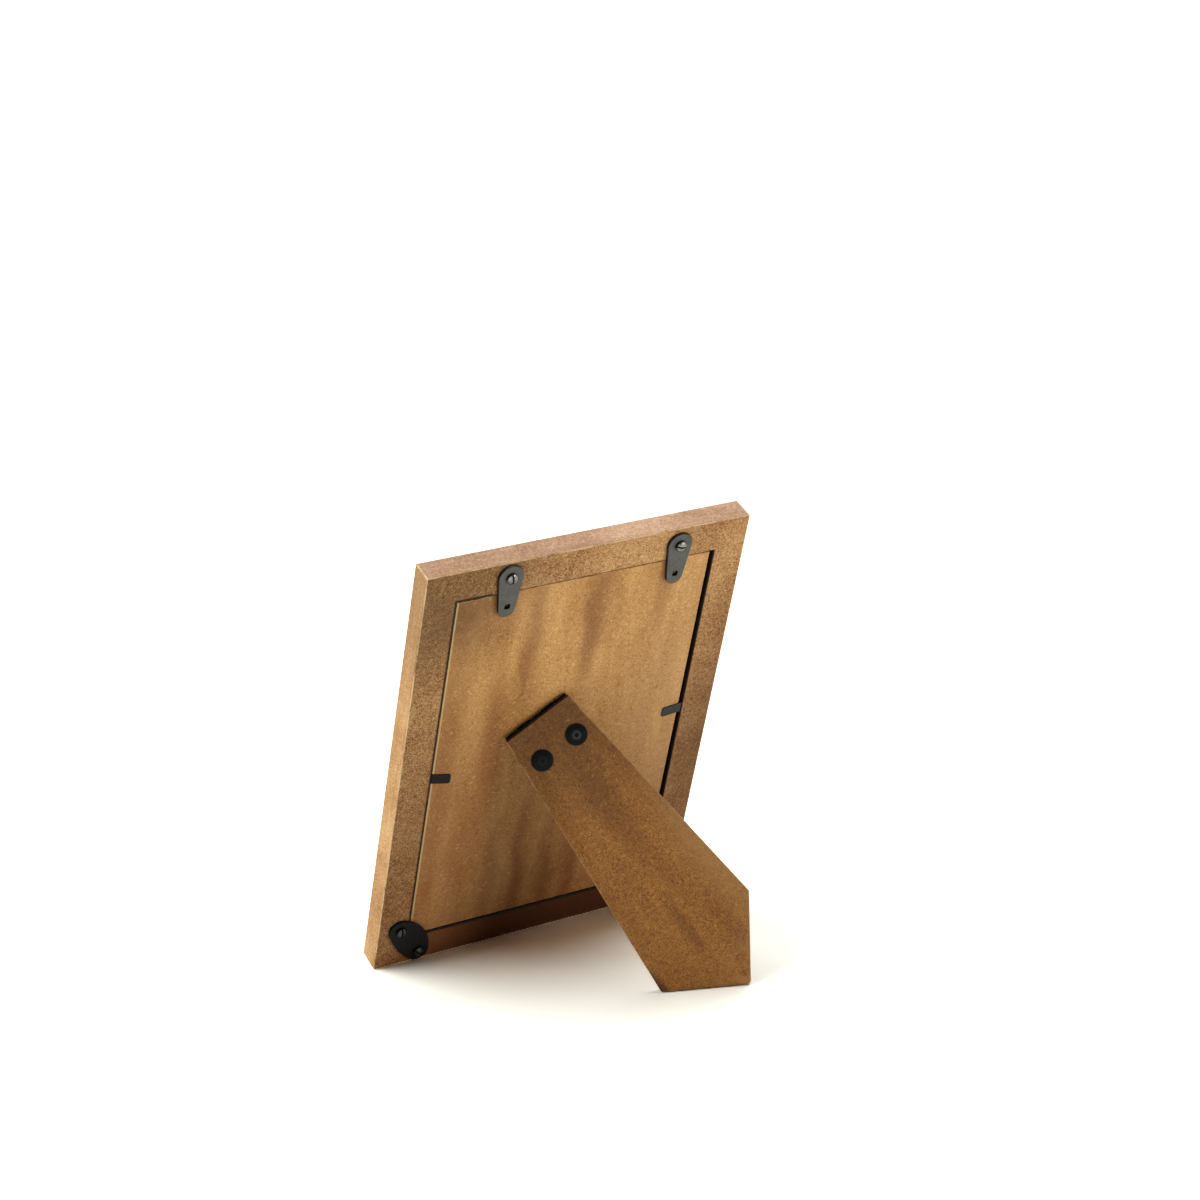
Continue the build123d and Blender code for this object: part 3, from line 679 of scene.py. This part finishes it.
def strut_hardboard():
    """Dark hardboard, deeper towards its head, with damp streaks and a stained corner at its foot."""
    material, tree, shader = start_material("dark_stained_hardboard", 0.55, Specular_IOR_Level=0.22)
    place = board_place(tree, strut_axes)
    facing = board_facing(tree, strut_axes)
    stretch = (1 / STREAK_LENGTH, 1 / STREAK_WIDTH, 1 / STREAK_WIDTH)
    colour, grain = hardboard_face(tree, place, stretch, dark_stain, 0.3, 1.85)
    parts = add_node(tree, "SeparateXYZ", {"Vector": place})
    colour = stain_and_painted_light(tree, colour, parts.outputs["X"], DARK_HEAD, 0, 0.58, "#3a2009")
    for along, across, half_length, half_width, share in STRUT_STREAKS:
        colour = blotted(tree, colour, place, (along * MM, across * MM, 0),
                         (half_length * MM, half_width * MM, 0), share, "#4e270a")
    colour = hardboard_details(tree, place, facing, colour, "Z", ("#41240c", "#b58a54"), "#a37848")
    colour = blotted(tree, colour, place, PALE_SIDE_PLACE, PALE_SIDE_REACH, 0.45, "#b98d58")
    colour = stain_and_painted_light(tree, colour, parts.outputs["X"], HEAD_SHADE_START, HEAD_SHADE_END, 0.92, "#0d0806")
    colour = blotted(tree, colour, place, left_foot_place, CORNER_STAIN, 0.85, "#26160b")
    bump = add_node(tree, "Bump", {"Height": grain, "Strength": 0.3, "Distance": HARDBOARD_RELIEF})
    join(tree, shader, {"Base Color": colour, "Normal": bump})
    return material


print("the left corner of the foot lies", round(left_foot_place[0] / MM, 1), "mm down from the hinge pin")

# %% [markdown]
# ## Strut with a rounded point
# The strut is sawn out of a board, and the point of its foot, where its two standing edges meet, is
# sanded round so that it doesn't break off. A copy of the construction model's strut is merged to one
# closed shape. Flat cuts that touch a small circle in the point then take the corner off, one after the
# other, as strokes of a file would.

# %% Where the cuts of the point lie
POINT_RADIUS = 1.8 * MM
POINT_CUTS = 6


def standing_edge(point, corner):
    """Direction that a standing edge of the foot faces, in the plane of the strut."""
    outward = out_of_strut.cross(point - corner).normalized()
    return outward * math.copysign(1, outward.dot(down_strut))


corners = [point.co.copy() for point in nodes["strut"].data.vertices]
foot_point = max(corners, key=down_strut.dot)
first_facing = standing_edge(foot_point, min(corners, key=across_strut.dot))
last_facing = standing_edge(foot_point, max(corners, key=across_strut.dot))
inset = POINT_RADIUS / (1 + first_facing.dot(last_facing))
round_middle = foot_point - (first_facing + last_facing) * inset
print("the point has", round(180 - math.degrees(first_facing.angle(last_facing))), "degrees")

# %% Strut with a rounded point
SHARP_EDGE = 25
MERGE = 0.001 * MM

bpy.ops.object.select_all(action="DESELECT")
strut = bpy.data.objects.new("round_point_strut", nodes["strut"].data.copy())
bpy.context.scene.collection.objects.link(strut)
bpy.context.view_layer.objects.active = strut
strut.select_set(True)
bpy.ops.object.mode_set(mode="EDIT")
bpy.ops.mesh.select_all(action="SELECT")
bpy.ops.mesh.remove_doubles(threshold=MERGE)
for cut in range(POINT_CUTS):
    facing = first_facing.lerp(last_facing, (cut + 1) / (POINT_CUTS + 1)).normalized()
    bpy.ops.mesh.select_all(action="SELECT")
    bpy.ops.mesh.bisect(plane_co=round_middle + facing * POINT_RADIUS, plane_no=facing,
                        use_fill=True, clear_outer=True)
bpy.ops.mesh.select_all(action="SELECT")
bpy.ops.mesh.normals_make_consistent()
bpy.ops.object.mode_set(mode="OBJECT")
bpy.ops.object.shade_smooth_by_angle(angle=math.radians(SHARP_EDGE))
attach(strut, "easel_strut")
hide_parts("strut")
strut.data.materials.clear()
strut.data.materials.append(strut_hardboard())
print("strut with", len(strut.data.polygons), "faces and a point of", POINT_RADIUS / MM, "mm radius")

# %% [markdown]
# ## Blackened steel
# The plates, tabs and hinge are blackened steel, matt and nearly black. The faces of the turn buttons
# are rubbed grey by fingers, and the right tab is a lighter grey, a painted reflection of the lit floor.
# The cut edges are darker, a painted shade where they face away from the light, so the surface's facing
# mixes the two. The hinge pin and the nails in the corners are plain zinc plated steel.

# %% Blackened steel
FITTING_GRIT = 1.6 * MM
BUTTON_GRIT = 2.2 * MM
ZINC_SPANGLE = 1.0 * MM
STEEL_RELIEF = 0.05 * MM


def steel(name, roughness, grit, edge, dark, light, **sockets):
    """Steel with a patchy face, and edges darkened by painted shade."""
    material, tree, shader = start_material(name, roughness, **sockets)
    place = board_place(tree, frame_axes)
    facing = board_facing(tree, frame_axes)
    patches = add_node(tree, "TexNoise", {
        "Vector": place, "Scale": 1 / grit, "Detail": 4.0, "Roughness": 0.65})
    colour = add_node(tree, "ValToRGB", {"Fac": patches}, stops=((0.3, dark), (0.7, light)))
    ways = add_node(tree, "SeparateXYZ", {"Vector": facing})
    # Painted shade: the cut edges, which face away from the light, take the darker edge colour.
    turned = add_node(tree, "MapRange", {"Value": ways.outputs["Y"], "From Min": 0.95, "From Max": 0.6})
    colour = add_node(tree, "Mix", {0: turned, 6: colour, 7: edge}, data_type="RGBA")
    bump = add_node(tree, "Bump", {"Height": patches, "Strength": 0.15, "Distance": STEEL_RELIEF})
    join(tree, shader, {"Base Color": colour, "Normal": bump})
    return material


dress(steel("blackened_steel", 0.5, FITTING_GRIT, "#060607", "#0a0b0c", "#141517",
            Specular_IOR_Level=0.1),
      "hinge_fixed_leaf", "hinge_moving_leaf", "board_rivets", "corner_plate_left", "corner_plate_right",
      "side_tab_left", "side_tab_left_anchor", "side_tab_right_anchor")
dress(steel("rubbed_blackened_steel", 0.45, BUTTON_GRIT, "#0c0c0d", "#474745", "#565653",
            Specular_IOR_Level=0.2),
      "turn_button_left", "turn_button_right")
# The right tab is a lighter copy, a painted reflection of the lit floor.
dress(steel("blackened_steel_painted_reflection", 0.45, FITTING_GRIT, "#0c0c0d", "#242524", "#343533",
            Specular_IOR_Level=0.15),
      "side_tab_right")
dress(steel("zinc_plated_steel", 0.35, ZINC_SPANGLE, "#9a9a96", "#a8a8a4", "#d0d0cc", Metallic=1.0),
      "hinge_pin", "corner_nails")

# %% [markdown]
# ## Screws
# The screws are bright where a screwdriver and sleeves rub them, on the crowns of their heads, and dark
# down their sides and in their slots, partly their blackening and partly painted shade on the sides that
# face away from the light. So their height above the back mixes the two. Those of the corner plates are
# darker still, a painted shade of the shadowed floor that they reflect.

# %% Screws
SCREW_CROWN = 2.45 * MM
SCREW_SHOULDER = 2.1 * MM
SCREW_GRIT = 0.9 * MM


def rubbed_and_shaded_screws(name, dark, light):
    """Dark steel screws whose crowns are rubbed bright, with painted shade down their sides."""
    material, tree, shader = start_material(name, 0.32, Metallic=1.0)
    place = board_place(tree, frame_axes)
    parts = add_node(tree, "SeparateXYZ", {"Vector": place})
    sunk = add_node(tree, "MapRange", {
        "Value": parts.outputs["Y"], "From Min": SCREW_CROWN, "From Max": SCREW_SHOULDER})
    patches = add_node(tree, "TexNoise", {"Vector": place, "Scale": 1 / SCREW_GRIT, "Detail": 3.0})
    colour = add_node(tree, "ValToRGB", {"Fac": patches}, stops=((0.3, dark), (0.7, light)))
    # Partly blackening and partly painted shade down the sides and in the slots.
    colour = add_node(tree, "Mix", {0: sunk, 6: colour, 7: "#19191a"}, data_type="RGBA")
    join(tree, shader, {"Base Color": colour})
    return material


dress(rubbed_and_shaded_screws("rubbed_and_shaded_screw_steel", "#3a3937", "#8f8d88"), "turn_button_screws")
# The corner plates' screws are a darker copy, painted shade of the shadowed floor that they reflect.
dress(rubbed_and_shaded_screws("screw_steel_painted_shade", "#232322", "#5d5c58"), "corner_plate_screws")

# %% [markdown]
# ## Rivets of the strut
# The two rivets in the head of the strut are black and domed, with a dimple from the punch. A painted
# glint lies grey on the crown round the dimple, so again the height mixes the two tones, this time above
# the strut.

# %% Rivets of the strut
RIVET_GRIT = 1.4 * MM
RIVET_CROWN_DEPTH = 0.14 * MM
RIVET_SIDE = 5 * MM

rivet_top = span("strut_rivets", out_of_strut)[1] - hinge_place.dot(out_of_strut)


def glinting_rivets():
    """Black domed rivets, with a painted glint on the crown round the dimple."""
    material, tree, shader = start_material("rivet_steel_painted_glint", 0.3, Specular_IOR_Level=0.05)
    place = board_place(tree, strut_axes)
    parts = add_node(tree, "SeparateXYZ", {"Vector": place})
    patches = add_node(tree, "TexNoise", {"Vector": place, "Scale": 1 / RIVET_GRIT, "Detail": 3.0})
    colour = add_node(tree, "ValToRGB", {"Fac": patches}, stops=((0.3, "#07090b"), (0.7, "#0e1215")))
    # The share of painted glint on the crown.
    rubbed = add_node(tree, "MapRange", {
        "Value": parts.outputs["Z"], "From Min": rivet_top - RIVET_CROWN_DEPTH, "From Max": rivet_top,
        "To Max": 0.8})
    # The painted glint is stronger on the right rivet.
    right_glint = add_node(tree, "MapRange", {
        "Value": parts.outputs["Y"], "From Min": -RIVET_SIDE, "From Max": RIVET_SIDE, "To Min": 0.2})
    rubbed = add_node(tree, "Math", {0: rubbed, 1: right_glint}, operation="MULTIPLY")
    colour = add_node(tree, "Mix", {0: rubbed, 6: colour, 7: "#464b4d"}, data_type="RGBA")
    bump = add_node(tree, "Bump", {"Height": patches, "Strength": 0.15, "Distance": STEEL_RELIEF})
    join(tree, shader, {"Base Color": colour, "Normal": bump})
    return material


dress(glinting_rivets(), "strut_rivets")

# %% [markdown]
# ## Glass pane
# A pane of float glass is cut with a wheel, and its sharp edges are ground off. In the construction
# model its back lies flat on the sheet, and two faces in one plane flicker, so this pane is modelled
# anew with a little air on both sides: a cube is pulled to the pane's size, its edges are bevelled, and
# it is turned to the lean of the frame.

# %% Glass pane
AIR = 0.05 * MM
GROUND_EDGE = 0.25 * MM

pane_ways = (across_frame, out_of_back, up_frame)
pane_spans = [span("glass_pane", direction) for direction in pane_ways]
pane_spans[1] = (pane_spans[1][0] + AIR, pane_spans[1][1] - AIR)
pane_size = [high - low for low, high in pane_spans]
pane_middle = Vector()
for (low, high), direction in zip(pane_spans, pane_ways):
    pane_middle += (low + high) / 2 * direction

bpy.ops.object.select_all(action="DESELECT")
bpy.ops.mesh.primitive_cube_add(size=1)
pane = bpy.context.object
pane.name = "ground_edge_pane"
bpy.ops.object.mode_set(mode="EDIT")
bpy.ops.mesh.select_all(action="SELECT")
bpy.ops.transform.resize(value=pane_size)
bpy.ops.mesh.bevel(offset=GROUND_EDGE, segments=2)
bpy.ops.mesh.normals_make_consistent()
bpy.ops.object.mode_set(mode="OBJECT")
pane.data.transform(Matrix(pane_ways).transposed().to_4x4())
pane.data.transform(Matrix.Translation(pane_middle))
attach(pane, "frame")
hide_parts("glass_pane")
print("pane of", [round(length / MM, 2) for length in pane_size], "mm with",
      len(pane.data.polygons), "faces")

# %% [markdown]
# ## Float glass
# Float glass is clear and smooth, with a faint green body that waves a little. A low alpha lets light
# through to the sheet behind it, which a renderer would otherwise leave in the dark.

# %% Float glass
GLASS_WAVE = 30 * MM


def float_glass():
    """Clear, smooth glass with a faint green body."""
    material, tree, shader = start_material(
        "float_glass", 0.03, IOR=1.5, Transmission_Weight=1.0, Alpha=0.3)
    source = tree.nodes.new("ShaderNodeTexCoord")
    waves = add_node(tree, "TexNoise", {"Vector": source.outputs["Object"], "Scale": 1 / GLASS_WAVE})
    colour = add_node(tree, "ValToRGB", {"Fac": waves}, stops=((0.3, "#f2faf6"), (0.7, "#f8fdfb")))
    join(tree, shader, {"Base Color": colour})
    return material


pane.data.materials.append(float_glass())
print(pane.data.materials[0].name, "on", pane.name)

# %% [markdown]
# ## Sheet and card
# A bare sheet lies behind the glass in place of a photograph, and a filler card fills the rest of the
# rabbet. Both are uncoated and matt, with fibres that a noise draws in two close tones.

# %% Sheet and card
# Coarser than real paper fibres, which are too fine to show.
PAPER_FIBRE = 0.8 * MM
CARD_FIBRE = 0.9 * MM


def paper(name, dark, light, fibre):
    """Matt, uncoated paper with fibres."""
    material, tree, shader = start_material(name, 0.8)
    source = tree.nodes.new("ShaderNodeTexCoord")
    fibres = add_node(tree, "TexNoise", {
        "Vector": source.outputs["Object"], "Scale": 1 / fibre, "Detail": 5.0, "Distortion": 1.0})
    colour = add_node(tree, "ValToRGB", {"Fac": fibres}, stops=((0.2, dark), (0.8, light)))
    join(tree, shader, {"Base Color": colour})
    return material


dress(paper("uncoated_paper", "#dcd8ca", "#efece2", PAPER_FIBRE), "photo_sheet")
dress(paper("grey_board", "#8e877a", "#a59d8d", CARD_FIBRE), "filler_card")

# %% [markdown]
# ## Floor
# The frame stands on a wide, matt white floor, which is burnt out in the photograph. So to the eye
# alone it reflects half as much again as it does to the frame, and only the shadow that no softbox
# reaches is left.

# %% Floor
FLOOR_SIZE = 14.0
FLOOR_WHITE = "#f9fcf5"
FLOOR_BURN = 1.5


def seen_directly(tree):
    """One for the rays that show a surface to the eye, straight or through a mirror or glass."""
    rays = tree.nodes.new("ShaderNodeLightPath")
    glances = add_node(tree, "Math", {
        0: rays.outputs["Is Glossy Ray"], 1: rays.outputs["Is Transmission Ray"]}, operation="MAXIMUM")
    return add_node(tree, "Math", {0: rays.outputs["Is Camera Ray"], 1: glances}, operation="MAXIMUM")


def white_floor():
    """A matt white floor that burns out to the eye."""
    material = bpy.data.materials.new("white_floor")
    material.use_nodes = True
    tree = material.node_tree
    tree.nodes.remove(tree.nodes["Principled BSDF"])
    level = add_node(tree, "MapRange", {
        "Value": seen_directly(tree), "To Min": 1.0, "To Max": FLOOR_BURN})
    white = add_node(tree, "VectorMath", {
        0: linear(FLOOR_WHITE)[:3], "Scale": level}, operation="SCALE")
    matt = add_node(tree, "BsdfDiffuse", {"Color": white})
    join(tree, tree.nodes["Material Output"], {"Surface": matt})
    return material


bpy.ops.mesh.primitive_plane_add(size=FLOOR_SIZE, location=(0, 0, 0))
floor = bpy.context.object
floor.name = "floor"
floor.data.materials.append(white_floor())
print("floor of", FLOOR_SIZE, "m")

# %% [markdown]
# ## Light
# Two large softboxes stand in front of the frame, one to each side, so the frame shades the floor
# behind it from both. The white floor throws their light back up to the frame's back, more of it the
# higher up. A low warm light from the right grazes the back, where the strut shades the lower part of
# the board. All are suns, so the floor stays evenly white as far as the eye goes. The world is white to
# the eye and next to dark to the frame.

# %% Light
WORLD_FILL = 0.005
WHITE = "#ffffff"
WARM_WHITE = "#ffeedb"


def sun(name, azimuth, elevation, level, angle, colour):
    """A distant soft light from a direction. Level 1 shows a facing white surface as white."""
    bpy.ops.object.light_add(type="SUN")
    lamp = bpy.context.object
    lamp.name = name
    lamp.data.energy = level * math.pi
    lamp.data.angle = math.radians(angle)
    lamp.data.color = linear(colour)[:3]
    lamp.rotation_euler = (math.radians(90 - elevation), 0, math.radians(azimuth))


sun("left_softbox", azimuth=63, elevation=46, level=0.95, angle=53, colour=WHITE)
sun("right_softbox", azimuth=316, elevation=59, level=0.72, angle=60, colour=WHITE)
sun("low_right_light", azimuth=215, elevation=2, level=0.5, angle=18, colour=WARM_WHITE)

world = bpy.data.worlds.new("studio")
bpy.context.scene.world = world
world.use_nodes = True
tree = world.node_tree
strength = add_node(tree, "MapRange", {"Value": seen_directly(tree), "To Min": WORLD_FILL, "To Max": 1.0})
join(tree, tree.nodes["Background"], {"Strength": strength, "Color": WHITE})
bpy.context.scene.view_settings.view_transform = "Standard"

# %% [markdown]
# ## Camera
# The camera stands where the photograph was taken from: behind the frame, to its left, and looking
# down. Its place and lens were worked out from the corners of the frame and of the strut in the
# photograph.

# %% Camera
CAMERA_PLACE = (0.4690, 0.8489, 0.5358)
CAMERA_AZIMUTH = 150.406
CAMERA_ELEVATION = 21.745
FOCAL_PIXELS = 2923.33
PHOTO_PIXELS = 1200
SENSOR_WIDTH = 36
VIEW_END = 100

bpy.ops.object.camera_add(location=CAMERA_PLACE)
camera = bpy.context.object
camera.rotation_euler = (math.radians(90 - CAMERA_ELEVATION), 0, math.radians(CAMERA_AZIMUTH))
camera.data.sensor_width = SENSOR_WIDTH
camera.data.lens = SENSOR_WIDTH * FOCAL_PIXELS / PHOTO_PIXELS
camera.data.clip_end = VIEW_END
bpy.context.scene.camera = camera
print("camera at", [round(value, 3) for value in camera.location])
